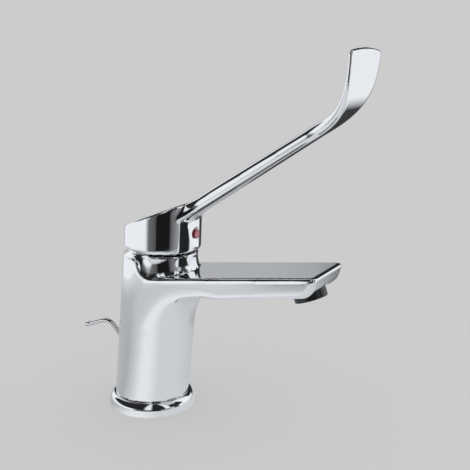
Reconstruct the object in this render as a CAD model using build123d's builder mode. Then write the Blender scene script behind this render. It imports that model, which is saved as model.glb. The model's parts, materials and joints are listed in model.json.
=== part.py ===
from build123d import *
from math import cos, radians, sin, tan
import os

# Single-lever basin tap with a long elbow lever, millimetres, +Z up.
# The origin is the centre of the base ring on the deck, and the spout points along +X.

# Base ring and gasket
ring_overhang = 3.8
ring_top_overhang = 1.0
ring_height = 8.3
ring_edge_radius = 1.6
ring_foot_height = 2.0
ring_round_in_share = 0.3
ring_round_up_share = 0.55
gasket_width = 3.0
gasket_height = 1.6

# Leaning column
foot_radius = 23.7
column_top_radius = 24.1
column_wall = 4.6
floor_height = 14.0
floor_thickness = 11.0

# Head place, at the centre of the lever head's lower rim
head_x = 10.4
head_z = 105.6
head_tilt = 2.6

# Radii that follow the foot
ring_radius = foot_radius + ring_overhang
ring_top_radius = foot_radius + ring_top_overhang
ring_bore = foot_radius - column_wall
gasket_inner_radius = (ring_radius + ring_bore - gasket_width) / 2
gasket_outer_radius = gasket_inner_radius + gasket_width

# Spout
spout_width = 42.3
spout_root_ease = 0.2
spout_length = 122.8
spout_top_at_axis = 88.6
spout_rise = 7.3
spout_under_rise = 8.6
spout_tip_thickness = 11.8
spout_undercut = 3.8
spout_edge_radius = 1.6
spout_under_edge_radius = 3.4
spout_tip_radius = 8.4
flare_bottom = 60.0
flare_radius = 22.0
flare_turn = 80.0
flare_steps = 5
flare_corner_radius = 5.0
flare_sink = 0.8
duct_width = 26.0
duct_height = 4.4
duct_radius = 4.6

# Shoulder round the neck
neck_radius = 20.4
neck_front_radius = 22.3
neck_front_start = 4.0
neck_front_gap = 1.7
shoulder_drop = 4.5
shoulder_back = 7.0
shoulder_middle = 1.6
shoulder_middle_share = 0.7
shoulder_front = 6.5

# Cartridge chamber, measured down from the head's rim
chamber_radius = 17.8
chamber_depth = 33.5
seat_thickness = 6.0
neck_top_gap = 0.9
nut_height = 5.0
nut_bore_radius = 13.6
nut_notch_count = 6

# Cartridge
cartridge_radius = 17.5
cartridge_base_height = 3.8
cartridge_bore_radius = 15.6
cartridge_shoulder_depth = 13.2
housing_top_depth = 6.4
disc_thickness = 3.0
fixed_disc_radius = 14.6
moving_disc_radius = 12.0
disc_gap = 0.05
carrier_height = 6.0
rotor_radius = 12.8
rotor_flange_radius = 15.2
rotor_flange_height = 3.4
rotor_top_depth = 2.2
port_radius = 2.6
port_offset = 7.6
port_back = 3.0
outlet_port_x = 8.6
seal_outer_radius = 4.1
seal_height = 1.2

# Spindle and its pin
pivot_back = 5.0
pivot_depth = 9.0
pin_radius = 2.0
pin_fit = 0.05
blade_width = 7.0
blade_length = 11.0
shank_size = 7.8
shank_top = 15.0
ball_radius = 3.0
ball_depth = 10.2
ball_neck_share = 0.6

# Cover over the cartridge
cover_radius = 19.9
cover_height = 4.2
cover_wall = 1.4
cover_bore_radius = 11.6
cover_round_out_share = 0.72
cover_round_up_share = 0.7

# Lever head
head_radius = 23.9
head_bore_radius = 21.6
head_mid_height = 21.6
head_slope = 24.1
head_roof = 3.2
head_edge_radius = 1.0
boss_size = 14.4
boss_bottom = 6.2

# Lever arm and paddle, in the head's own frame
arm_rise = 35.5
arm_start_x = 18.0
arm_start_height = 17.9
arm_length = 110.0
arm_root_thickness = 9.2
arm_end_thickness = 6.8
arm_root_half_width = 18.5
arm_round_share = 0.46
root_stations = [-14.0, -6.0, 2.0, 10.0, 18.0]
root_width_shares = [1.0, 0.99, 0.84, 0.58, 0.44]
slim_lead = 12.0
slim_half_width = 6.6
bend_radius = 38.0
bend_angle = 50.5
bend_shares = [0.0, 0.33, 0.66, 1.0]
bend_width_shares = [0.33, 0.53, 0.76, 0.92]
paddle_thickness = 2.6
paddle_length = 15.6
paddle_half_width = 23.0
paddle_crown = 1.6
paddle_corner_radius = 3.4

# Screw and indicator in the front of the head
screw_height = 11.2
screw_radius = 2.5
screw_length = 9.0
screw_socket_size = 2.5
screw_socket_depth = 2.4
screw_socket_sides = 6
plug_radius = 2.4
plug_rim_radius = 2.8
plug_length = 3.6
plug_rim_height = 0.5
dot_radius = 2.2
dot_depth = 0.4

# Aerator
aerator_radius = 10.4
aerator_skirt_radius = 9.7
aerator_skirt_rise = 2.0
aerator_setback = 12.8
aerator_tilt = 19.0
aerator_stand_out = 4.7
aerator_thread_length = 6.0
aerator_bore_radius = 8.6
aerator_lip_radius = 7.6
aerator_lip_height = 1.2
washer_height = 1.2
insert_height = 5.2
insert_cell = 2.2
insert_cell_pitch = 2.9
insert_cell_count = 5
mesh_height = 0.6
mesh_cell_count = 9

# Pop-up pull rod
rod_radius = 1.6
rod_wall_gap = 2.7
rod_bottom = 1.4
rod_knee_height = 27.0
rod_peak_x = -33.6
rod_peak_height = 50.6
rod_end_x = -53.4
rod_end_height = 43.4
rod_bend_radius = 5.0
rod_peak_radius = 9.0
rod_end_radius = 1.9
rod_end_length = 4.0
rod_travel = 12.0
bush_radius = 4.0
bush_flange_radius = 5.4
bush_flange_height = 1.6
slot_width = 6.4
slot_bottom = 20.0
slot_top = 54.0

# Inlets, stud and inner tubes
inlet_radius = 4.5
inlet_offset = 9.0
inlet_x = 3.6
inlet_depth = 10.0
stud_radius = 3.4
stud_wall_gap = 2.3
tube_radius = 4.0
tube_bore_radius = 3.0
tube_socket_depth = 2.6

# General clearances
running_gap = 0.3
thread_fit = 0.05
cut_overrun = 4.0

# Places that follow the foot's wall and the spout's tip
rod_x = rod_wall_gap + bush_flange_radius - ring_bore
stud_x = ring_bore - stud_radius - stud_wall_gap
aerator_x = spout_length - aerator_setback
spout_root_width = 2 * (foot_radius + spout_root_ease)

# Frames that follow the head
head_turn = radians(head_tilt)
head_centre = (head_x, 0, head_z)
head_forward = (cos(head_turn), 0, -sin(head_turn))
head_up = (sin(head_turn), 0, cos(head_turn))
head_plane = Plane(origin=head_centre, x_dir=head_forward, z_dir=head_up)
side_plane = Plane(origin=head_centre, x_dir=head_forward, z_dir=(0, -1, 0))
front_plane = Plane(origin=head_centre, x_dir=(0, 1, 0), z_dir=head_forward)


def head_point(forward, across, up):
    """World place of a point that is given in the head's own frame."""
    return head_plane.from_local_coords(Vector(forward, across, up))


def column_axis_x(height):
    """The column's axis leans forward from the deck to the head."""
    return head_x * (height - ring_height) / (head_z - ring_height)


def spout_top(x):
    """Height of the spout's flat top."""
    return spout_top_at_axis + x * tan(radians(spout_rise))


def spout_half_width(x):
    """Half of the spout's width, which narrows evenly from the head to the tip."""
    narrowing = (spout_root_width - spout_width) * (x - head_x) / (spout_length - head_x)
    return (spout_root_width - narrowing) / 2


def save(part, name):
    """Label a finished piece and write its STEP file."""
    part.label = name
    export_step(part, "parts/" + name + ".step")


def ring_piece(plane, outer, inner, height):
    """A plain ring standing on a plane."""
    with BuildPart() as piece:
        with BuildSketch(plane):
            Circle(outer)
            Circle(inner, mode=Mode.SUBTRACT)
        extrude(amount=height)
    return piece.part


os.makedirs("parts", exist_ok=True)

# Base ring with a rounded side and a groove for the gasket
with BuildPart() as base_ring:
    with BuildSketch(Plane.XZ):
        with BuildLine():
            Line((ring_bore, 0), (ring_radius, 0))
            Line((ring_radius, 0), (ring_radius, ring_foot_height))
            ThreePointArc(
                (ring_radius, ring_foot_height),
                (
                    ring_radius - ring_edge_radius * ring_round_in_share,
                    (ring_foot_height + ring_height) * ring_round_up_share,
                ),
                (ring_top_radius, ring_height),
            )
            Line((ring_top_radius, ring_height), (ring_bore, ring_height))
            Line((ring_bore, ring_height), (ring_bore, 0))
        make_face()
    revolve(axis=Axis.Z)
    with BuildSketch(Plane.XY):
        Circle(gasket_outer_radius)
        Circle(gasket_inner_radius, mode=Mode.SUBTRACT)
    extrude(amount=gasket_height, mode=Mode.SUBTRACT)
save(base_ring.part, "base_ring")

base_gasket = ring_piece(Plane.XY, gasket_outer_radius, gasket_inner_radius, gasket_height)
save(base_gasket, "base_gasket")

# Places that the body's cuts and the inner pieces share
floor_top = floor_height + floor_thickness
seat_top = -chamber_depth
seat_bottom = seat_top - seat_thickness
tube_places = [(-port_back, side * port_offset) for side in (-1, 1)]
aerator_up = (-sin(radians(aerator_tilt)), 0, cos(radians(aerator_tilt)))
aerator_forward = (cos(radians(aerator_tilt)), 0, sin(radians(aerator_tilt)))
tip_top = spout_top(spout_length)
tip_under_x = spout_length - spout_undercut
tip_under = spout_top(tip_under_x) - spout_tip_thickness
under_tan = tan(radians(spout_under_rise))
aerator_mouth = tip_under - (tip_under_x - aerator_x) * under_tan
aerator_plane = Plane(
    origin=(aerator_x, 0, aerator_mouth), x_dir=aerator_forward, z_dir=aerator_up
)

duct_roof = (spout_tip_thickness - duct_height) / 2
duct_start = head_point(outlet_port_x, 0, seat_bottom + duct_radius)
duct_end_x = head_x + foot_radius + duct_radius
duct_end_z = spout_top(duct_end_x) - duct_roof - duct_height
duct_end = Vector(duct_end_x, 0, duct_end_z)
duct_direction = duct_end - duct_start
duct_run = duct_direction.length
duct_plane = Plane(origin=duct_start, z_dir=duct_direction)
aerator_reach = spout_top(aerator_x) - duct_roof - aerator_mouth - aerator_thread_length
inlet_places = [(inlet_x, side * inlet_offset) for side in (-1, 1)]
tube_runs = []
for side in (-1, 1):
    tube_start = Vector(inlet_x, side * inlet_offset, floor_top - tube_socket_depth)
    tube_end = head_point(-port_back, side * port_offset, seat_bottom + tube_socket_depth)
    tube_direction = tube_end - tube_start
    tube_runs.append((Plane(origin=tube_start, z_dir=tube_direction), tube_direction.length))
shoulder_end = aerator_x - head_x
rotor_slot_length = blade_length + shank_size / 2 + 2 * running_gap
rotor_slot_x = -pivot_back + (rotor_slot_length - blade_length) / 2 - running_gap
pin_half_length = blade_width / 2 + 2 * pin_radius
cover_bottom = -neck_top_gap
cover_rise = cover_height - cover_bottom
cover_shoulder_radius = cover_radius - cover_rise


def spout_top_in_head(forward):
    """Height of the spout's top in the head's own frame."""
    rise_angle = radians(spout_rise) + head_turn
    drop = (spout_top(head_x) - head_z) * cos(radians(spout_rise))
    return drop / cos(rise_angle) + forward * tan(rise_angle)


# Spout slab, narrowed a little towards its tip
with BuildPart() as spout_slab:
    with BuildSketch(Plane.XZ) as slab_side:
        with BuildLine():
            Polyline(
                (head_x, spout_top(head_x)),
                (spout_length, tip_top),
                (tip_under_x, tip_under),
                (head_x, tip_under - (tip_under_x - head_x) * under_tan),
                close=True,
            )
        make_face()
        tip_corner = slab_side.vertices().sort_by_distance((tip_under_x, tip_under, 0))[0]
        fillet(tip_corner, spout_tip_radius)
    extrude(amount=spout_root_width, both=True)
    with BuildSketch(Plane.XY.offset(floor_top)):
        with BuildLine():
            Polyline(
                (head_x, -spout_half_width(head_x)),
                (spout_length + cut_overrun, -spout_half_width(spout_length + cut_overrun)),
                (spout_length + cut_overrun, spout_half_width(spout_length + cut_overrun)),
                (head_x, spout_half_width(head_x)),
                close=True,
            )
        make_face()
    extrude(amount=head_z, mode=Mode.INTERSECT)
    side_edges = spout_slab.edges().filter_by(
        lambda edge: abs(edge.center().Y) > spout_width / 4 and edge.center().X > head_x + running_gap
    )
    top_edges = spout_slab.edges().filter_by(
        lambda edge: edge.center().Z > spout_top(edge.center().X) - running_gap
        and edge.center().X > head_x + running_gap
    )
    fillet(side_edges - top_edges, spout_under_edge_radius)
    top_edges = spout_slab.edges().filter_by(
        lambda edge: edge.center().Z > spout_top(edge.center().X) - running_gap
        and edge.center().X > head_x + running_gap
    )
    fillet(top_edges, spout_edge_radius)

# Tap body: column, flare, spout and neck in one casting
with BuildPart() as tap_body:
    with BuildSketch(Plane.XY.offset(ring_height)):
        Circle(foot_radius)
    with BuildSketch(head_plane.offset(-neck_top_gap)):
        Circle(column_top_radius)
    loft()
    # The flare carries the column's front over into the spout's underside
    for step in range(flare_steps + 1):
        turn = radians(flare_turn * step / flare_steps)
        flare_height = flare_bottom + flare_radius * sin(turn)
        axis_x = column_axis_x(flare_height)
        front_x = column_axis_x(flare_bottom) + foot_radius - flare_sink
        front_x = front_x + flare_radius * (1 - cos(turn))
        corner = front_x - axis_x - flare_sink
        corner = corner + (flare_corner_radius - corner) * step / flare_steps
        back_half = spout_half_width(axis_x)
        side_half = spout_half_width(front_x - corner)
        front_half = side_half - corner
        with BuildSketch(Plane.XY.offset(flare_height)):
            with BuildLine():
                Line((front_x - corner, side_half), (axis_x, back_half))
                ThreePointArc((axis_x, back_half), (axis_x - back_half, 0), (axis_x, -back_half))
                Line((axis_x, -back_half), (front_x - corner, -side_half))
                RadiusArc((front_x, -front_half), (front_x - corner, -side_half), corner)
                Line((front_x, -front_half), (front_x, front_half))
                RadiusArc((front_x - corner, side_half), (front_x, front_half), corner)
            make_face()
    loft()
    add(spout_slab.part)
    # Shoulder: everything above it is cut away outside the neck
    shoulder_plateau = spout_top_in_head(shoulder_front)
    with BuildSketch(side_plane):
        with BuildLine():
            Line((-head_radius - cut_overrun, -shoulder_drop), (-shoulder_back, -shoulder_drop))
            Spline(
                (-shoulder_back, -shoulder_drop),
                (-shoulder_middle, shoulder_plateau * shoulder_middle_share),
                (shoulder_front, shoulder_plateau),
                tangents=((1, 0), (1, tan(radians(spout_rise + head_tilt)))),
            )
            Polyline(
                (shoulder_front, shoulder_plateau),
                (shoulder_end, spout_top_in_head(shoulder_end)),
                (shoulder_end, cut_overrun),
                (-head_radius - cut_overrun, cut_overrun),
                (-head_radius - cut_overrun, -shoulder_drop),
            )
        make_face()
    extrude(amount=spout_root_width, both=True, mode=Mode.SUBTRACT)
    with BuildSketch(head_plane.offset(-neck_top_gap)):
        Circle(neck_radius)
    extrude(amount=shoulder_plateau)
    with BuildSketch(head_plane.offset(-neck_front_gap)):
        Circle(neck_front_radius)
        with Locations((neck_front_start - neck_front_radius, 0)):
            Rectangle(2 * neck_front_radius, 3 * neck_front_radius, mode=Mode.SUBTRACT)
    extrude(amount=spout_top_in_head(neck_front_radius) - neck_radius / 4)
    # Cartridge chamber with its threaded mouth
    with BuildSketch(head_plane.offset(seat_top)):
        Circle(chamber_radius)
    extrude(amount=chamber_depth + cut_overrun, mode=Mode.SUBTRACT)
    # Hollow foot under and over the floor web
    with BuildSketch(Plane.XY):
        Circle(foot_radius - column_wall)
    extrude(amount=floor_height, mode=Mode.SUBTRACT)
    with BuildSketch(Plane.XY.offset(floor_top)) :
        with Locations((column_axis_x(floor_top), 0)):
            Circle(foot_radius - column_wall)
    with BuildSketch(head_plane.offset(seat_bottom)):
        Circle(column_top_radius - column_wall)
    loft(mode=Mode.SUBTRACT)
    # Seat ports, tube sockets, inlets and the stud's thread
    with BuildSketch(head_plane.offset(seat_top)):
        with Locations(*tube_places):
            Circle(tube_bore_radius)
        with Locations((outlet_port_x, 0)):
            Circle(tube_bore_radius)
    extrude(amount=-seat_thickness, mode=Mode.SUBTRACT)
    for tube_plane, tube_length in tube_runs:
        with BuildSketch(tube_plane):
            Circle(tube_radius)
        extrude(amount=tube_length, mode=Mode.SUBTRACT)
    with BuildSketch(Plane.XY.offset(floor_height)):
        with Locations(*inlet_places):
            Circle(inlet_radius)
    extrude(amount=inlet_depth - tube_socket_depth, mode=Mode.SUBTRACT)
    with BuildSketch(Plane.XY.offset(floor_height)):
        with Locations(*inlet_places):
            Circle(tube_bore_radius)
        with Locations((stud_x, 0)):
            Circle(stud_radius)
        with Locations((rod_x, 0)):
            Circle(bush_radius)
    extrude(amount=floor_thickness, mode=Mode.SUBTRACT)
    # Slot for the pull rod in the back of the column
    with BuildSketch(Plane.XZ):
        with BuildLine():
            Polyline(
                (rod_x, floor_top + running_gap),
                (-foot_radius - cut_overrun, slot_bottom),
                (-foot_radius - cut_overrun, slot_top),
                (rod_x, slot_top),
                close=True,
            )
        make_face()
    extrude(amount=slot_width / 2, both=True, mode=Mode.SUBTRACT)
    # Water duct from under the seat to the aerator
    with BuildSketch(duct_plane):
        Circle(duct_radius)
    extrude(amount=duct_run, mode=Mode.SUBTRACT)
    with BuildSketch(Plane.XZ):
        with BuildLine():
            Polyline(
                (duct_end_x, duct_end_z - duct_height),
                (aerator_x, spout_top(aerator_x) - duct_roof - duct_height),
                (aerator_x, spout_top(aerator_x) - duct_roof),
                (duct_end_x, spout_top(duct_end_x) - duct_roof),
                close=True,
            )
        make_face()
    extrude(amount=duct_width / 4, both=True, mode=Mode.SUBTRACT)
    # Aerator bore
    with BuildSketch(aerator_plane.offset(-aerator_stand_out)):
        Circle(aerator_radius + thread_fit)
    extrude(amount=aerator_stand_out + aerator_thread_length, mode=Mode.SUBTRACT)
    with BuildSketch(aerator_plane.offset(aerator_thread_length)):
        Circle(aerator_bore_radius)
    extrude(amount=aerator_reach, mode=Mode.SUBTRACT)
save(tap_body.part, "tap_body")

# Inner copper tubes from the floor to the cartridge seat
for name, (tube_plane, tube_length) in zip(("cold_tube", "hot_tube"), tube_runs):
    save(ring_piece(tube_plane, tube_radius - thread_fit, tube_bore_radius, tube_length), name)

# Bush that guides the pull rod through the floor web
with BuildPart() as rod_bush:
    with BuildSketch(Plane.XY.offset(floor_height - bush_flange_height)):
        Circle(bush_flange_radius)
    extrude(amount=bush_flange_height)
    with BuildSketch(Plane.XY.offset(floor_height)):
        Circle(bush_radius - thread_fit)
    extrude(amount=floor_thickness)
    with BuildSketch(Plane.XY.offset(floor_height - bush_flange_height)):
        Circle(rod_radius + pin_fit)
    extrude(amount=bush_flange_height + floor_thickness, mode=Mode.SUBTRACT)
rod_bush_part = rod_bush.part.moved(Location((rod_x, 0, 0)))
save(rod_bush_part, "rod_bush")

# Pull rod: upright in the foot, out through the slot and over to its knob
with BuildPart() as pull_rod:
    with BuildLine() as rod_path:
        FilletPolyline(
            (rod_x, 0, rod_bottom),
            (rod_x, 0, rod_knee_height),
            (rod_peak_x, 0, rod_peak_height),
            (rod_end_x, 0, rod_end_height),
            radius=[rod_bend_radius, rod_peak_radius],
        )
    with BuildSketch(Plane.XY.offset(rod_bottom)):
        with Locations((rod_x, 0)):
            Circle(rod_radius)
    sweep()
    rod_end_plane = Plane(origin=rod_path.line @ 1, z_dir=rod_path.line % 1)
    with BuildSketch(rod_end_plane.offset(-rod_end_length)):
        Circle(rod_end_radius)
    extrude(amount=rod_end_length)
    fillet(pull_rod.edges().filter_by(GeomType.CIRCLE).sort_by(Axis.X)[0], rod_radius / 2)
save(pull_rod.part, "pull_rod")

# Cartridge base with its three ports and seal seats
ports = tube_places + [(outlet_port_x, 0)]
base_bottom = seat_top + pin_fit
base_top = base_bottom + cartridge_base_height
with BuildPart() as cartridge_base:
    with BuildSketch(head_plane.offset(base_bottom)):
        Circle(cartridge_radius)
        with Locations(*ports):
            Circle(port_radius, mode=Mode.SUBTRACT)
    extrude(amount=cartridge_base_height)
    with BuildSketch(head_plane.offset(base_bottom)):
        with Locations(*ports):
            Circle(seal_outer_radius + thread_fit)
    extrude(amount=seal_height, mode=Mode.SUBTRACT)
save(cartridge_base.part, "cartridge_base")

for name, place in zip(("cold_seal", "hot_seal", "outlet_seal"), ports):
    seal_plane = Plane(
        origin=head_point(place[0], place[1], base_bottom), x_dir=head_forward, z_dir=head_up
    )
    save(ring_piece(seal_plane, seal_outer_radius, port_radius, seal_height), name)

# Ceramic discs: the lower one fixed with its ports, the upper one with a pocket over them
fixed_top = base_top + disc_thickness
with BuildPart() as fixed_disc:
    with BuildSketch(head_plane.offset(base_top)):
        Circle(fixed_disc_radius)
        with Locations(*ports):
            Circle(port_radius, mode=Mode.SUBTRACT)
    extrude(amount=disc_thickness)
save(fixed_disc.part, "fixed_disc")

moving_bottom = fixed_top + disc_gap
moving_top = moving_bottom + disc_thickness
with BuildPart() as moving_disc:
    with BuildSketch(head_plane.offset(moving_bottom)):
        Circle(moving_disc_radius)
    extrude(amount=disc_thickness)
    with BuildSketch(head_plane.offset(moving_bottom)):
        with Locations((port_radius, 0)):
            Circle(moving_disc_radius - 2 * port_radius)
    extrude(amount=disc_thickness / 2, mode=Mode.SUBTRACT)
save(moving_disc.part, "moving_disc")

# Carrier that pushes the moving disc, with a pocket for the spindle's ball
ball_centre = -pivot_depth - ball_depth
pocket_half = ball_radius + running_gap
carrier_top = moving_top + carrier_height
with BuildPart() as disc_carrier:
    with BuildSketch(head_plane.offset(moving_top)):
        Circle(moving_disc_radius)
    extrude(amount=carrier_height)
    with BuildSketch(head_plane.offset(ball_centre - pocket_half)):
        with Locations((-pivot_back, 0)):
            Rectangle(2 * pocket_half, 2 * pocket_half)
    extrude(amount=carrier_height + pocket_half, mode=Mode.SUBTRACT)
save(disc_carrier.part, "disc_carrier")

# Cartridge housing: a cup upside down with an open top for the rotor
with BuildPart() as cartridge_housing:
    with BuildSketch(head_plane.offset(base_top)):
        Circle(cartridge_radius)
    extrude(amount=-housing_top_depth - base_top)
    with BuildSketch(head_plane.offset(base_top)):
        Circle(cartridge_bore_radius)
    extrude(amount=-cartridge_shoulder_depth - base_top, mode=Mode.SUBTRACT)
    with BuildSketch(head_plane.offset(-cartridge_shoulder_depth)):
        Circle(rotor_radius + running_gap)
    extrude(amount=cartridge_shoulder_depth, mode=Mode.SUBTRACT)
save(cartridge_housing.part, "cartridge_housing")

# Rotor that turns with the lever and carries the spindle's pin
rotor_flange_top = -cartridge_shoulder_depth - running_gap / 2
rotor_bottom = rotor_flange_top - rotor_flange_height
slot_half = blade_width / 2 + running_gap
with BuildPart() as cartridge_rotor:
    with BuildSketch(head_plane.offset(rotor_bottom)):
        Circle(rotor_flange_radius)
    extrude(amount=rotor_flange_height)
    with BuildSketch(head_plane.offset(rotor_flange_top)):
        Circle(rotor_radius)
    extrude(amount=-rotor_top_depth - rotor_flange_top)
    with BuildSketch(head_plane.offset(rotor_bottom)):
        with Locations((rotor_slot_x, 0)):
            Rectangle(rotor_slot_length, 2 * slot_half)
    extrude(amount=cartridge_shoulder_depth + rotor_flange_height, mode=Mode.SUBTRACT)
    with BuildSketch(head_plane.offset(-pivot_depth + pin_radius + running_gap)):
        with Locations((rotor_slot_x, 0)):
            Rectangle(rotor_slot_length, shank_size + 2 * running_gap)
    extrude(amount=pivot_depth, mode=Mode.SUBTRACT)
    with BuildSketch(side_plane):
        with Locations((-pivot_back, -pivot_depth)):
            Circle(pin_radius)
    extrude(amount=pin_half_length, both=True, mode=Mode.SUBTRACT)
save(cartridge_rotor.part, "cartridge_rotor")

with BuildPart() as pivot_pin:
    with BuildSketch(side_plane):
        with Locations((-pivot_back, -pivot_depth)):
            Circle(pin_radius)
    extrude(amount=pin_half_length, both=True)
save(pivot_pin.part, "pivot_pin")

# Spindle: square shank, flat blade round the pin and a ball at its foot
with BuildPart() as lever_spindle:
    with BuildSketch(side_plane):
        with Locations((-pivot_back, -pivot_depth)):
            Circle(blade_length / 2)
        with BuildLine():
            Polyline(
                (-pivot_back - blade_length / 2, -pivot_depth),
                (-shank_size / 2, -rotor_top_depth),
                (shank_size / 2, -rotor_top_depth),
                (-pivot_back + blade_length / 2, -pivot_depth),
                close=True,
            )
        make_face()
    extrude(amount=blade_width / 2, both=True)
    with BuildSketch(side_plane):
        with Locations((-pivot_back, (ball_centre - pivot_depth) / 2)):
            Rectangle(2 * ball_radius * ball_neck_share, ball_depth)
    extrude(amount=ball_radius * ball_neck_share, both=True)
    with BuildSketch(head_plane.offset(-rotor_top_depth)):
        Rectangle(shank_size, shank_size)
    extrude(amount=shank_top + rotor_top_depth)
    with BuildSketch(side_plane):
        with Locations((-pivot_back, -pivot_depth)):
            Circle(pin_radius + pin_fit)
    extrude(amount=blade_width, both=True, mode=Mode.SUBTRACT)
    with Locations(head_point(-pivot_back, 0, ball_centre)):
        Sphere(ball_radius)
save(lever_spindle.part, "lever_spindle")

# Retaining nut over the housing, with notches for its key
with BuildPart() as retaining_nut:
    with BuildSketch(head_plane.offset(-housing_top_depth)):
        Circle(chamber_radius - thread_fit)
        Circle(nut_bore_radius, mode=Mode.SUBTRACT)
    extrude(amount=nut_height)
    with BuildSketch(head_plane.offset(-housing_top_depth + nut_height / 2)):
        with PolarLocations((chamber_radius + nut_bore_radius) / 2, nut_notch_count):
            Rectangle(chamber_radius - nut_bore_radius - 2 * seal_height, nut_height / 2)
    extrude(amount=nut_height, mode=Mode.SUBTRACT)
save(retaining_nut.part, "retaining_nut")

# Cover: a low cap on the neck with a wide hole for the shank
with BuildPart() as cartridge_cover:
    with BuildSketch(side_plane):
        with BuildLine():
            Line((cover_bore_radius, cover_height), (cover_shoulder_radius, cover_height))
            ThreePointArc(
                (cover_shoulder_radius, cover_height),
                (
                    cover_shoulder_radius + cover_rise * cover_round_out_share,
                    cover_bottom + cover_rise * cover_round_up_share,
                ),
                (cover_radius, cover_bottom),
            )
            Line((cover_radius, cover_bottom), (cover_radius - cover_wall, cover_bottom))
            Polyline(
                (cover_radius - cover_wall, cover_bottom),
                (cover_shoulder_radius, cover_height - cover_wall),
                (cover_bore_radius, cover_height - cover_wall),
                (cover_bore_radius, cover_height),
            )
        make_face()
    revolve(axis=Axis(head_centre, head_up))
save(cartridge_cover.part, "cartridge_cover")

# Lever: hollow head, arm and upturned paddle in one casting
rise = radians(arm_rise)
slope_tan = tan(radians(head_slope))
arm_root = Vector(arm_start_x, arm_start_height)
arm_dir = Vector(cos(rise), sin(rise))
arm_normal = Vector(-sin(rise), cos(rise))
arm_end = arm_root + arm_dir * arm_length
bend_centre = arm_end + arm_normal * bend_radius
head_front_top = head_mid_height + head_radius * slope_tan

head_forward_vector = Vector(*head_forward)
head_up_vector = Vector(*head_up)


def arm_section(outer, turn, half_width, thickness):
    """One rounded cross-section, standing on the arm's outer line."""
    normal = Vector(-sin(turn), cos(turn))
    middle = outer + normal * thickness / 2
    run = head_forward_vector * cos(turn) + head_up_vector * sin(turn)
    plane = Plane(origin=head_point(middle.X, 0, middle.Y), x_dir=(0, 1, 0), z_dir=run)
    with BuildSketch(plane) as section:
        RectangleRounded(2 * half_width, thickness, thickness * arm_round_share)
    return section.sketch


def straight_section(station, half_width):
    """A cross-section of the straight arm, at a station along its outer line."""
    narrowing = (arm_root_thickness - arm_end_thickness) * station / arm_length
    outer = arm_root + arm_dir * station
    return arm_section(outer, rise, half_width, arm_root_thickness - narrowing)


with BuildPart() as elbow_lever:
    # Arm and upturned paddle: wide at the head, slim, then fanned out and thin
    root_sections = []
    for station, width_share in zip(root_stations, root_width_shares):
        half_width = arm_root_half_width * width_share
        root_sections.append(straight_section(station, half_width))
    loft(root_sections)
    slim_section = straight_section(arm_length - slim_lead, slim_half_width)
    loft([root_sections[-1], slim_section])
    paddle_sections = [slim_section]
    for bend_share, width_share in zip(bend_shares, bend_width_shares):
        turn = rise + radians(bend_angle) * bend_share
        outer = bend_centre - Vector(-sin(turn), cos(turn)) * bend_radius
        thickness = arm_end_thickness + (paddle_thickness - arm_end_thickness) * bend_share
        half_width = paddle_half_width * width_share
        paddle_sections.append(arm_section(outer, turn, half_width, thickness))
    tip_outer = outer + Vector(cos(turn), sin(turn)) * paddle_length
    paddle_sections.append(arm_section(tip_outer, turn, paddle_half_width, paddle_thickness))
    loft(paddle_sections)
    with BuildSketch(front_plane) as front_outline:
        with BuildLine():
            Polyline(
                (-paddle_half_width, tip_outer.Y - paddle_crown),
                (-paddle_half_width, 0),
                (paddle_half_width, 0),
                (paddle_half_width, tip_outer.Y - paddle_crown),
            )
            ThreePointArc(
                (paddle_half_width, tip_outer.Y - paddle_crown),
                (0, tip_outer.Y),
                (-paddle_half_width, tip_outer.Y - paddle_crown),
            )
        make_face()
        fillet(front_outline.vertices().group_by(Axis.Z)[-1], paddle_corner_radius)
    extrude(amount=2 * arm_length, mode=Mode.INTERSECT)


def slope_height(forward, below):
    """Height of the head's sloped top, or of a surface at a depth below it."""
    return head_mid_height - below / cos(radians(head_slope)) + forward * slope_tan


def under_slope(radius, bottom, below, edge_radius):
    """A round plug whose top is cut to the head's slope and rounded."""
    with BuildPart() as piece:
        with BuildSketch(head_plane.offset(bottom)):
            Circle(radius)
        extrude(amount=head_front_top - bottom)
        with BuildSketch(side_plane):
            with BuildLine():
                Polyline(
                    (-2 * radius, slope_height(-2 * radius, below)),
                    (2 * radius, slope_height(2 * radius, below)),
                    (2 * radius, 2 * head_front_top),
                    (-2 * radius, 2 * head_front_top),
                    close=True,
                )
            make_face()
        extrude(amount=2 * radius, both=True, mode=Mode.SUBTRACT)
        fillet(piece.edges().filter_by(GeomType.ELLIPSE), edge_radius)
    return piece.part


head_solid = under_slope(head_radius, 0, 0, head_edge_radius)
head_hollow = under_slope(head_bore_radius, -cut_overrun, head_roof, head_edge_radius)
front_screw_plane = Plane(
    origin=head_point(0, 0, screw_height), x_dir=(0, 1, 0), z_dir=head_forward
)
with elbow_lever:
    add(head_solid)
    add(head_hollow, mode=Mode.SUBTRACT)
    with BuildSketch(side_plane):
        with BuildLine():
            Polyline(
                (-boss_size / 2, boss_bottom),
                (boss_size / 2, boss_bottom),
                (boss_size / 2, slope_height(boss_size / 2, head_roof / 2)),
                (-boss_size / 2, slope_height(-boss_size / 2, head_roof / 2)),
                close=True,
            )
        make_face()
    extrude(amount=boss_size / 2, both=True)
    with BuildSketch(head_plane.offset(boss_bottom)):
        Rectangle(shank_size + 2 * thread_fit, shank_size + 2 * thread_fit)
    extrude(amount=shank_top - boss_bottom + thread_fit, mode=Mode.SUBTRACT)
    with BuildSketch(front_screw_plane):
        Circle(screw_radius + thread_fit)
    extrude(amount=boss_size, mode=Mode.SUBTRACT)
    with BuildSketch(front_screw_plane.offset(boss_size)):
        Circle(plug_radius + thread_fit)
    extrude(amount=head_radius, mode=Mode.SUBTRACT)
save(elbow_lever.part, "elbow_lever")

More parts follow.
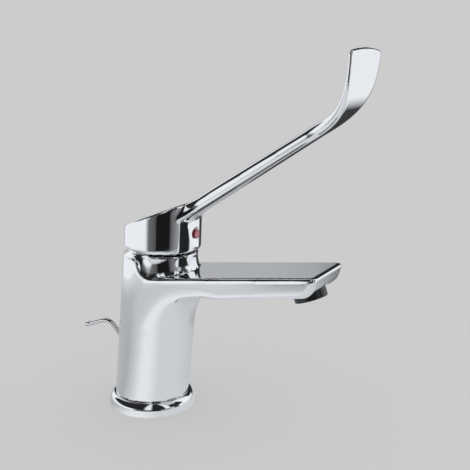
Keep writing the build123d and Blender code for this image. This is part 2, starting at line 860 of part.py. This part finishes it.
# Grub screw that holds the head on the shank
screw_start = shank_size / 2 + thread_fit
with BuildPart() as grub_screw:
    with BuildSketch(front_screw_plane.offset(screw_start)):
        Circle(screw_radius)
    extrude(amount=screw_length)
    with BuildSketch(front_screw_plane.offset(screw_start + screw_length)):
        RegularPolygon(screw_socket_size / 2, screw_socket_sides, major_radius=False)
    extrude(amount=-screw_socket_depth, mode=Mode.SUBTRACT)
save(grub_screw.part, "grub_screw")

# Indicator plug over the screw, with a lens let into its face
plug_start = head_radius + plug_rim_height - plug_length
plug_face = head_radius + plug_rim_height
with BuildPart() as indicator_plug:
    with BuildSketch(front_screw_plane.offset(plug_start)):
        Circle(plug_radius)
    extrude(amount=plug_length)
    with BuildSketch(front_screw_plane.offset(plug_face)):
        Circle(plug_rim_radius)
    extrude(amount=plug_rim_height)
    with BuildSketch(front_screw_plane.offset(plug_face + plug_rim_height)):
        Circle(dot_radius)
    extrude(amount=-dot_depth, mode=Mode.SUBTRACT)
save(indicator_plug.part, "indicator_plug")

with BuildPart() as indicator_lens:
    with BuildSketch(front_screw_plane.offset(plug_face + plug_rim_height - dot_depth)):
        Circle(dot_radius - thread_fit)
    extrude(amount=dot_depth)
save(indicator_lens.part, "indicator_lens")

# Aerator: knurled housing, cell insert, screen and washer
lip_top = -aerator_stand_out + aerator_lip_height
aerator_thread_run = aerator_thread_length - washer_height - aerator_skirt_rise
with BuildPart() as aerator_housing:
    with BuildSketch(aerator_plane.offset(-aerator_stand_out)):
        Circle(aerator_skirt_radius)
        Circle(aerator_lip_radius, mode=Mode.SUBTRACT)
    extrude(amount=aerator_lip_height)
    with BuildSketch(aerator_plane.offset(lip_top)):
        Circle(aerator_skirt_radius)
        Circle(aerator_bore_radius, mode=Mode.SUBTRACT)
    extrude(amount=aerator_skirt_rise - lip_top)
    with BuildSketch(aerator_plane.offset(aerator_skirt_rise)):
        Circle(aerator_radius)
        Circle(aerator_bore_radius, mode=Mode.SUBTRACT)
    extrude(amount=aerator_thread_run)
save(aerator_housing.part, "aerator_housing")

with BuildPart() as aerator_insert:
    with BuildSketch(aerator_plane.offset(lip_top)):
        Circle(aerator_bore_radius - thread_fit)
        with GridLocations(insert_cell_pitch, insert_cell_pitch, insert_cell_count, insert_cell_count):
            Rectangle(insert_cell, insert_cell, mode=Mode.SUBTRACT)
    extrude(amount=insert_height)
save(aerator_insert.part, "aerator_insert")

mesh_pitch = insert_cell_pitch / 2
with BuildPart() as aerator_screen:
    with BuildSketch(aerator_plane.offset(lip_top + insert_height)):
        Circle(aerator_bore_radius - thread_fit)
        with GridLocations(mesh_pitch, mesh_pitch, mesh_cell_count, mesh_cell_count):
            Rectangle(insert_cell / 3, insert_cell / 3, mode=Mode.SUBTRACT)
    extrude(amount=mesh_height)
save(aerator_screen.part, "aerator_screen")

washer_plane = aerator_plane.offset(aerator_thread_length - washer_height)
save(ring_piece(washer_plane, aerator_radius, aerator_bore_radius, washer_height), "aerator_washer")
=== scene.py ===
import json
from math import cos, hypot, pi, radians, sin, tan

import bpy
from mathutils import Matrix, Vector


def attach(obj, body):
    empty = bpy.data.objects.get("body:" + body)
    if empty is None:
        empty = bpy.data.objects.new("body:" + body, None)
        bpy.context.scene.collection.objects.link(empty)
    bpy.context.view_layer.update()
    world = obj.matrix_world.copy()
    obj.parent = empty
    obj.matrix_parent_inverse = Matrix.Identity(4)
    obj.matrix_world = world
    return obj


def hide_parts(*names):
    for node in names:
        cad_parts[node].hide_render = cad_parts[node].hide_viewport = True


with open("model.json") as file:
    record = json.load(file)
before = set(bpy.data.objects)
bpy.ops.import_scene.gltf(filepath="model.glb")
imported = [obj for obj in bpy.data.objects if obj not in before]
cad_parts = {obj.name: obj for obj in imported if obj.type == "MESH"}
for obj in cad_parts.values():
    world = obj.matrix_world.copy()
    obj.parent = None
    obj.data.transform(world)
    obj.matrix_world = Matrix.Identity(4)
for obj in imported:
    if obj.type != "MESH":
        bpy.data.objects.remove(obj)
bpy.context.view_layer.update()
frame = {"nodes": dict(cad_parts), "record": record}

# Camera, worked out from the photograph
PHOTO_SIZE = 470
FOCAL_PIXELS = 800
PIXELS_PER_METRE = 1676.5
CAMERA_TURN = radians(28.77)
CAMERA_RISE = radians(12.66)
AIM_POINT = Vector((0.055, 0, 0.110))
AIM_SIDEWAYS = 0.00603
AIM_UPWARDS = 0.00700
SENSOR_WIDTH = 36
NEAREST_VIEW = 0.01

# Sizes of the castings' fine faces, in metres, and rounds of smoothing
BODY_VOXEL = 0.00076
LEVER_VOXEL = 0.00050
RING_VOXEL = 0.00035
ROD_VOXEL = 0.00022
BODY_SMOOTHING = 5
LEVER_SMOOTHING = 30
RING_SMOOTHING = 5
ROD_SMOOTHING = 2
SMOOTHING_STRENGTH = 0.5
MERGE_DISTANCE = 0.000002
CASTING_ANGLE = radians(60)
NODE_ANGLE = radians(30)
RELIEF_HEIGHT = 0.0002
CLOUD_DETAIL = 4
CLOUD_LOW = 0.3
CLOUD_HIGH = 0.7

# Backdrop, floor and the tint of what the metal sees
BACKDROP_GREY = 0.604
BACKDROP_COLOUR = (BACKDROP_GREY, BACKDROP_GREY, BACKDROP_GREY, 1)
FLOOR_GREY = 1.0
RED_SHARE = 0.98
BLUE_SHARE = 1.03
FLOOR_FADE_START = 0.10
FLOOR_FADE_END = 0.28
FLOOR_RADIUS = 0.375
FLOOR_SIDES = 96
FLOOR_ROUGHNESS = 0.9

# Greys that polished metal sees, as degrees round the tap from the camera's side and a grey
FLOOR_ROUND = [
    (-180, 0.56), (-110, 0.50), (-80, 0.46), (-50, 0.66), (-28, 0.88), (-10, 0.88), (16, 0.70),
    (60, 0.70), (120, 0.62), (158, 0.54), (180, 0.54),
]
FLOOR_MIDDLE_ROUND = [
    (-180, 0.52), (-110, 0.50), (-80, 0.52), (-50, 0.64), (-20, 0.74), (20, 0.70), (60, 0.68),
    (108, 0.60), (120, 0.16), (146, 0.10), (160, 0.42), (180, 0.46),
]
FLOOR_FAR_ROUND = [
    (-180, 0.46), (-152, 0.52), (-142, 0.80), (-44, 0.80), (-34, 0.30), (-16, 0.20), (23, 0.20),
    (52, 0.48), (82, 0.70), (105, 0.62), (118, 0.10), (150, 0.08), (164, 0.42), (180, 0.46),
]
FLOOR_MIDDLE_START = 0.13
FLOOR_MIDDLE_END = 0.25
FLOOR_FAR_START = 0.29
FLOOR_FAR_END = 0.375
FLOOR_SHADE_SHARE = 0.45
WALL_ROUND = [
    (-180, 0.46), (-152, 0.52), (-142, 0.95), (-50, 0.95), (-38, 0.16), (-18, 0.09), (-15, 0.01),
    (23, 0.01), (27, 0.10), (50, 0.34), (60, 0.66), (68, 0.04), (78, 0.08), (82, 0.97), (138, 0.92),
    (146, 0.05), (171, 0.04), (177, 0.42), (180, 0.46),
]
CEILING_ROUND = [
    (-180, 0.02), (-160, 0.03), (-152, 0.98), (-128, 0.98), (-120, 0.03), (-62, 0.02), (-20, 0.02),
    (-12, 0.90), (0, 0.90), (5, 0.02), (38, 0.02), (41, 0.95), (52, 0.95), (55, 0.02),
    (92, 0.02), (98, 0.98), (124, 0.98), (132, 0.02), (180, 0.02),
]
WALL_TOP_LOW = 0.18
WALL_TOP_HIGH = 0.32

# Sockets of a colour mix
MIX_FIRST = 6
MIX_SECOND = 7
MIX_RESULT = 2

# The head's own frame and the column's lean, as in the solids
HEAD_PLACE = Vector((0.0104, 0, 0.1056))
HEAD_TILT = radians(2.6)
COLUMN_FOOT = 0.0083
NECK_INNER = 0.0188
NECK_OUTER = 0.0234
COVE_BOTTOM = -0.0195
COVE_TOP = -0.0026
SKIN_RADIUS = 0.0212
FLARE_LOW = 0.050
FLARE_HIGH = 0.0875
FLARE_FRONT = 0.064
ROOT_NEAR = 0.0175
ROOT_FAR = 0.043
ROOT_LOW = 0.0165
HEAD_SLOPE = radians(24.1)
HEAD_MIDDLE_HEIGHT = 0.0216
SKIN_DEPTH = 0.0022


def deselect():
    """Nothing stays selected."""
    if bpy.context.object and bpy.context.object.mode != "OBJECT":
        bpy.ops.object.mode_set(mode="OBJECT")
    bpy.ops.object.select_all(action="DESELECT")


def pick(piece):
    """One object becomes the only selected and active one."""
    deselect()
    piece.select_set(True)
    bpy.context.view_layer.objects.active = piece


def apply_modifier(piece, kind, **values):
    """Add a modifier with these values and apply it."""
    pick(piece)
    modifier = piece.modifiers.new(kind.title(), kind)
    for name, value in values.items():
        setattr(modifier, name, value)
    bpy.ops.object.modifier_apply(modifier=modifier.name)


def finish_piece(piece):
    """Outward faces, smooth shading and the chrome."""
    pick(piece)
    bpy.ops.object.mode_set(mode="EDIT")
    bpy.ops.mesh.select_all(action="SELECT")
    bpy.ops.mesh.normals_make_consistent(inside=False)
    bpy.ops.object.mode_set(mode="OBJECT")
    bpy.ops.object.shade_smooth_by_angle(angle=CASTING_ANGLE)
    piece.data.materials.clear()
    piece.data.materials.append(CHROME)


def soften(piece, inside, steps):
    """Blend the surface where a test of its place holds, as hand polishing does, less towards the rim."""
    pick(piece)
    bpy.ops.object.mode_set(mode="EDIT")
    bpy.ops.mesh.select_mode(type="VERT")
    bpy.ops.object.mode_set(mode="OBJECT")
    for margin, repeats in steps:
        chosen = [inside(vertex.co, margin) for vertex in piece.data.vertices]
        piece.data.vertices.foreach_set("select", chosen)
        bpy.ops.object.mode_set(mode="EDIT")
        bpy.ops.mesh.vertices_smooth(factor=SMOOTHING_STRENGTH, repeat=repeats)
        bpy.ops.object.mode_set(mode="OBJECT")


def in_head(place):
    """A place in the head's own frame: forward, across and up."""
    away = place - HEAD_PLACE
    forward = away.x * cos(HEAD_TILT) - away.z * sin(HEAD_TILT)
    upward = away.x * sin(HEAD_TILT) + away.z * cos(HEAD_TILT)
    return forward, away.y, upward


def in_neck_cove(place, margin):
    """The hollow between the neck and the shoulder."""
    forward, across, upward = in_head(place)
    in_ring = NECK_INNER + margin < hypot(forward, across) < NECK_OUTER - margin
    return in_ring and COVE_BOTTOM < upward < COVE_TOP


def in_flare(place, margin):
    """The outer skin where the column turns into the spout."""
    if not FLARE_LOW + margin < place.z < FLARE_HIGH or place.x > FLARE_FRONT - margin:
        return False
    axis_x = HEAD_PLACE.x * (place.z - COLUMN_FOOT) / (HEAD_PLACE.z - COLUMN_FOOT)
    return hypot(place.x - axis_x, place.y) > SKIN_RADIUS and place.x > axis_x + margin


def in_arm_root(place, margin):
    """The outer skin where the arm springs from the head."""
    forward, across, upward = in_head(place)
    slope = HEAD_MIDDLE_HEIGHT + forward * tan(HEAD_SLOPE) - SKIN_DEPTH
    outside = upward > slope or hypot(forward, across) > NECK_OUTER
    return ROOT_NEAR + margin / 2 < forward < ROOT_FAR - margin and upward > ROOT_LOW and outside


def copy_of(node, name):
    """A merged copy of a node's mesh that can be worked on."""
    source = frame["nodes"][node]
    piece = bpy.data.objects.new(name, source.data.copy())
    bpy.context.scene.collection.objects.link(piece)
    pick(piece)
    bpy.ops.object.mode_set(mode="EDIT")
    bpy.ops.mesh.select_all(action="SELECT")
    bpy.ops.mesh.remove_doubles(threshold=MERGE_DISTANCE)
    bpy.ops.object.mode_set(mode="OBJECT")
    return piece


# Finishes
def new_node(tree, kind, **values):
    """A node with some of its settings or inputs filled in."""
    node = tree.nodes.new(kind)
    for name, value in values.items():
        if hasattr(node, name):
            setattr(node, name, value)
        else:
            node.inputs[name.replace("_", " ")].default_value = value
    return node


def spread(tree, value, low, high, **values):
    """A value's way from low to high, as a share from 0 to 1."""
    node = new_node(tree, "ShaderNodeMapRange", From_Min=low, From_Max=high, **values)
    tree.links.new(value, node.inputs["Value"])
    return node


def mix_shaders(tree, share, first, second):
    """Two shaders mixed by a share, which is a number or a socket."""
    mix = new_node(tree, "ShaderNodeMixShader")
    if isinstance(share, float):
        mix.inputs["Fac"].default_value = share
    else:
        tree.links.new(share, mix.inputs["Fac"])
    tree.links.new(first, mix.inputs[1])
    tree.links.new(second, mix.inputs[2])
    return mix.outputs["Shader"]


def polish_variation_group():
    """Faint differences in polish: a roughness mask and a very fine height."""
    group = bpy.data.node_groups.new("polish_variation", "ShaderNodeTree")
    for name in ("Scale", "Low", "High"):
        group.interface.new_socket(name, in_out="INPUT", socket_type="NodeSocketFloat")
    for name in ("Roughness", "Height"):
        group.interface.new_socket(name, in_out="OUTPUT", socket_type="NodeSocketFloat")
    links = group.links
    inputs = new_node(group, "NodeGroupInput")
    outputs = new_node(group, "NodeGroupOutput")
    place = new_node(group, "ShaderNodeTexCoord")
    cloud = new_node(group, "ShaderNodeTexNoise", Detail=CLOUD_DETAIL)
    links.new(place.outputs["Object"], cloud.inputs["Vector"])
    links.new(inputs.outputs["Scale"], cloud.inputs["Scale"])
    rough = spread(group, cloud.outputs["Fac"], CLOUD_LOW, CLOUD_HIGH)
    links.new(inputs.outputs["Low"], rough.inputs["To Min"])
    links.new(inputs.outputs["High"], rough.inputs["To Max"])
    links.new(rough.outputs["Result"], outputs.inputs["Roughness"])
    links.new(cloud.outputs["Fac"], outputs.inputs["Height"])
    return group


POLISH = polish_variation_group()


def surface(name, colour, tint, metallic, low, high, scale, bump=0.0, coat=0.0):
    """A finish whose roughness, colour and height vary a little over the surface."""
    material = bpy.data.materials.new(name)
    material.use_nodes = True
    tree = material.node_tree
    links = tree.links
    shader = tree.nodes["Principled BSDF"]
    shader.inputs["Metallic"].default_value = metallic
    shader.inputs["Coat Weight"].default_value = coat
    polish = new_node(tree, "ShaderNodeGroup", node_tree=POLISH, Scale=scale, Low=low, High=high)
    links.new(polish.outputs["Roughness"], shader.inputs["Roughness"])
    ramp = new_node(tree, "ShaderNodeValToRGB")
    ramp.color_ramp.elements[0].color = (*colour, 1)
    ramp.color_ramp.elements[1].color = (*tint, 1)
    links.new(polish.outputs["Height"], ramp.inputs["Fac"])
    links.new(ramp.outputs["Color"], shader.inputs["Base Color"])
    if bump:
        relief = new_node(tree, "ShaderNodeBump", Strength=bump, Distance=RELIEF_HEIGHT)
        links.new(polish.outputs["Height"], relief.inputs["Height"])
        links.new(relief.outputs["Normal"], shader.inputs["Normal"])
    return material


CHROME = surface("chrome_plate", (0.84, 0.85, 0.87), (0.88, 0.89, 0.90), 1, 0.02, 0.055, 60)
# The aerator is chrome; this near-black, non-metal colour is a painted dark reflection of the shaded
# surroundings under the spout.
AERATOR_PAINTED_DARK_REFLECTION = surface("aerator_painted_dark_reflection", (0.012, 0.014, 0.016), (0.022, 0.024, 0.028), 0, 0.16, 0.3, 300)
STEEL = surface("plain_steel", (0.55, 0.55, 0.56), (0.62, 0.62, 0.63), 1, 0.22, 0.38, 900, bump=0.2)
BRASS = surface("machined_brass", (0.70, 0.52, 0.26), (0.8, 0.62, 0.34), 1, 0.22, 0.36, 500, bump=0.2)
COPPER = surface("drawn_copper", (0.72, 0.36, 0.22), (0.8, 0.46, 0.3), 1, 0.2, 0.4, 300)
RUBBER = surface("seal_rubber", (0.02, 0.02, 0.02), (0.045, 0.045, 0.045), 0, 0.55, 0.75, 900, bump=0.4)
CERAMIC = surface("disc_ceramic", (0.88, 0.87, 0.82), (0.94, 0.93, 0.9), 0, 0.12, 0.25, 300)
MOULDING = surface("white_moulding", (0.8, 0.8, 0.78), (0.86, 0.86, 0.84), 0, 0.35, 0.5, 500, bump=0.15)
RED = surface("red_plug", (0.33, 0.012, 0.035), (0.42, 0.02, 0.05), 0, 0.12, 0.22, 800, coat=0.5)
LENS = surface("red_lens", (0.62, 0.10, 0.17), (0.7, 0.16, 0.24), 0, 0.08, 0.16, 700, coat=0.6)


def cast_piece(node, name, body, voxel, smoothing, blends=()):
    """A polished casting: the node's form with its edges softened as by polishing."""
    piece = copy_of(node, name)
    apply_modifier(piece, "REMESH", mode="VOXEL", voxel_size=voxel, adaptivity=0.0)
    apply_modifier(piece, "SMOOTH", factor=SMOOTHING_STRENGTH, iterations=smoothing)
    for inside, steps in blends:
        soften(piece, inside, steps)
    finish_piece(piece)
    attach(piece, body)
    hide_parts(node)


# Blends of the castings, each as margins from the blend's rim with rounds of smoothing
COVE_STEPS = [(0.0006, 110), (0.0, 40)]
FLARE_STEPS = [(0.009, 60), (0.0075, 26), (0.006, 18), (0.0045, 12), (0.003, 7), (0.0015, 4), (0.0, 2)]
ROOT_STEPS = [(0.013, 30), (0.0105, 14), (0.0085, 9), (0.0065, 6), (0.0045, 4), (0.0025, 2), (0.0, 1)]
BODY_BLENDS = [(in_neck_cove, COVE_STEPS), (in_flare, FLARE_STEPS)]
LEVER_BLENDS = [(in_arm_root, ROOT_STEPS)]

cast_piece("tap_body", "polished_body", "root", BODY_VOXEL, BODY_SMOOTHING, BODY_BLENDS)
cast_piece("elbow_lever", "polished_lever", "lever", LEVER_VOXEL, LEVER_SMOOTHING, LEVER_BLENDS)
cast_piece("base_ring", "polished_ring", "root", RING_VOXEL, RING_SMOOTHING)
cast_piece("pull_rod", "polished_rod", "rod", ROD_VOXEL, ROD_SMOOTHING)

# Finishes of the nodes that keep their own shape
NODE_FINISH = {
    "chrome": CHROME,
    # The aerator's chrome gets the painted dark reflection.
    "aerator_chrome": AERATOR_PAINTED_DARK_REFLECTION,
    "steel": STEEL,
    "brass": BRASS,
    "copper": COPPER,
    "rubber": RUBBER,
    "ceramic": CERAMIC,
    "white_plastic": MOULDING,
    "red_plastic": RED,
    "red_lens": LENS,
}
for part in frame["record"]["subparts"]:
    node = frame["nodes"][part["node"]]
    node.data.materials.clear()
    node.data.materials.append(NODE_FINISH[part["material_slot"]])
    pick(node)
    bpy.ops.object.shade_smooth_by_angle(angle=NODE_ANGLE)


def bearing(tree, vector):
    """Angle round the tap as a share of a turn from the camera's far side, and the height as a sine."""
    links = tree.links
    turned = new_node(tree, "ShaderNodeVectorRotate", rotation_type="Z_AXIS", Angle=-CAMERA_TURN)
    links.new(vector, turned.inputs["Vector"])
    parts = new_node(tree, "ShaderNodeSeparateXYZ")
    links.new(turned.outputs["Vector"], parts.inputs["Vector"])
    back = new_node(tree, "ShaderNodeMath", operation="MULTIPLY")
    back.inputs[1].default_value = -1
    links.new(parts.outputs["Y"], back.inputs[0])
    angle = new_node(tree, "ShaderNodeMath", operation="ARCTAN2")
    links.new(parts.outputs["X"], angle.inputs[0])
    links.new(back.outputs["Value"], angle.inputs[1])
    return spread(tree, angle.outputs["Value"], -pi, pi).outputs["Result"], parts.outputs["Z"]


def grey_ramp(tree, turn, stops):
    """A ramp of greys round the tap, with its stops in degrees."""
    ramp = new_node(tree, "ShaderNodeValToRGB")
    elements = ramp.color_ramp.elements
    while len(elements) > 1:
        elements.remove(elements[-1])
    for index, (degrees, grey) in enumerate(stops):
        place = (degrees + 180) / 360
        element = elements[0] if index == 0 else elements.new(place)
        element.position = place
        element.color = (grey * RED_SHARE, grey, grey * BLUE_SHARE, 1)
    tree.links.new(turn, ramp.inputs["Fac"])
    return ramp.outputs["Color"]


def blend(tree, share, first, second):
    """A mix of two colours by a share."""
    mix = new_node(tree, "ShaderNodeMix", data_type="RGBA")
    tree.links.new(share, mix.inputs["Factor"])
    tree.links.new(first, mix.inputs[MIX_FIRST])
    tree.links.new(second, mix.inputs[MIX_SECOND])
    return mix.outputs[MIX_RESULT]


def pale_floor():
    """A round pale floor that fades into the backdrop and keeps the shadow."""
    deselect()
    bpy.ops.mesh.primitive_circle_add(vertices=FLOOR_SIDES, radius=FLOOR_RADIUS, fill_type="NGON")
    floor = bpy.context.object
    floor.name = "floor"
    material = bpy.data.materials.new("pale_floor")
    material.use_nodes = True
    tree = material.node_tree
    nodes, links = tree.nodes, tree.links
    pale = nodes["Principled BSDF"]
    pale.inputs["Base Color"].default_value = (FLOOR_GREY, FLOOR_GREY, FLOOR_GREY, 1)
    pale.inputs["Roughness"].default_value = FLOOR_ROUGHNESS
    pale.inputs["Specular IOR Level"].default_value = 0.0
    place = new_node(tree, "ShaderNodeTexCoord").outputs["Object"]
    length = new_node(tree, "ShaderNodeVectorMath", operation="LENGTH")
    links.new(place, length.inputs[0])
    away = length.outputs["Value"]
    # A plain colour takes part of the shade away, so that the shadow stays soft
    plain = new_node(tree, "ShaderNodeEmission", Color=BACKDROP_COLOUR).outputs["Emission"]
    soft = mix_shaders(tree, FLOOR_SHADE_SHARE, plain, pale.outputs["BSDF"])
    fade = spread(tree, away, FLOOR_FADE_START, FLOOR_FADE_END).outputs["Result"]
    clear = new_node(tree, "ShaderNodeBsdfTransparent").outputs["BSDF"]
    fading = mix_shaders(tree, fade, soft, clear)
    # What polished metal sees of the floor
    turn, _ = bearing(tree, place)
    seen_floor = grey_ramp(tree, turn, FLOOR_ROUND)
    rings = [
        (FLOOR_MIDDLE_ROUND, FLOOR_MIDDLE_START, FLOOR_MIDDLE_END),
        (FLOOR_FAR_ROUND, FLOOR_FAR_START, FLOOR_FAR_END),
    ]
    for stops, start, end in rings:
        reach = spread(tree, away, start, end).outputs["Result"]
        seen_floor = blend(tree, reach, seen_floor, grey_ramp(tree, turn, stops))
    glow = new_node(tree, "ShaderNodeEmission")
    links.new(seen_floor, glow.inputs["Color"])
    mirrored = new_node(tree, "ShaderNodeLightPath").outputs["Is Glossy Ray"]
    seen = mix_shaders(tree, mirrored, fading, glow.outputs["Emission"])
    links.new(seen, nodes["Material Output"].inputs["Surface"])
    floor.data.materials.append(material)


def studio_world():
    """A plain backdrop for the camera; soft windows and dark gaps for the metal."""
    world = bpy.data.worlds.new("studio")
    bpy.context.scene.world = world
    world.use_nodes = True
    tree = world.node_tree
    nodes, links = tree.nodes, tree.links
    shade = nodes["Background"]
    shade.inputs["Color"].default_value = BACKDROP_COLOUR
    place = new_node(tree, "ShaderNodeTexCoord")
    turn, height = bearing(tree, place.outputs["Generated"])
    wall = grey_ramp(tree, turn, WALL_ROUND)
    ceiling = grey_ramp(tree, turn, CEILING_ROUND)
    rise = spread(tree, height, WALL_TOP_LOW, WALL_TOP_HIGH, interpolation_type="SMOOTHSTEP")
    studio = new_node(tree, "ShaderNodeBackground")
    links.new(blend(tree, rise.outputs["Result"], wall, ceiling), studio.inputs["Color"])
    mirrored = new_node(tree, "ShaderNodeLightPath").outputs["Is Glossy Ray"]
    seen = mix_shaders(tree, mirrored, shade.outputs["Background"], studio.outputs["Background"])
    links.new(seen, nodes["World Output"].inputs["Surface"])


def place_camera():
    """The photograph's view."""
    away = Vector(
        (sin(CAMERA_TURN) * cos(CAMERA_RISE), -cos(CAMERA_TURN) * cos(CAMERA_RISE), sin(CAMERA_RISE))
    )
    right = Vector((cos(CAMERA_TURN), sin(CAMERA_TURN), 0))
    up = away.cross(right)
    distance = FOCAL_PIXELS / PIXELS_PER_METRE
    data = bpy.data.cameras.new("camera")
    data.sensor_width = SENSOR_WIDTH
    data.lens = SENSOR_WIDTH * FOCAL_PIXELS / PHOTO_SIZE
    data.clip_start = NEAREST_VIEW
    camera = bpy.data.objects.new("camera", data)
    bpy.context.scene.collection.objects.link(camera)
    camera.location = AIM_POINT + right * AIM_SIDEWAYS + up * AIM_UPWARDS + away * distance
    camera.rotation_mode = "QUATERNION"
    camera.rotation_quaternion = away.to_track_quat("Z", "Y")
    bpy.context.scene.camera = camera


pale_floor()
studio_world()
place_camera()

bpy.context.scene.view_settings.view_transform = "Standard"
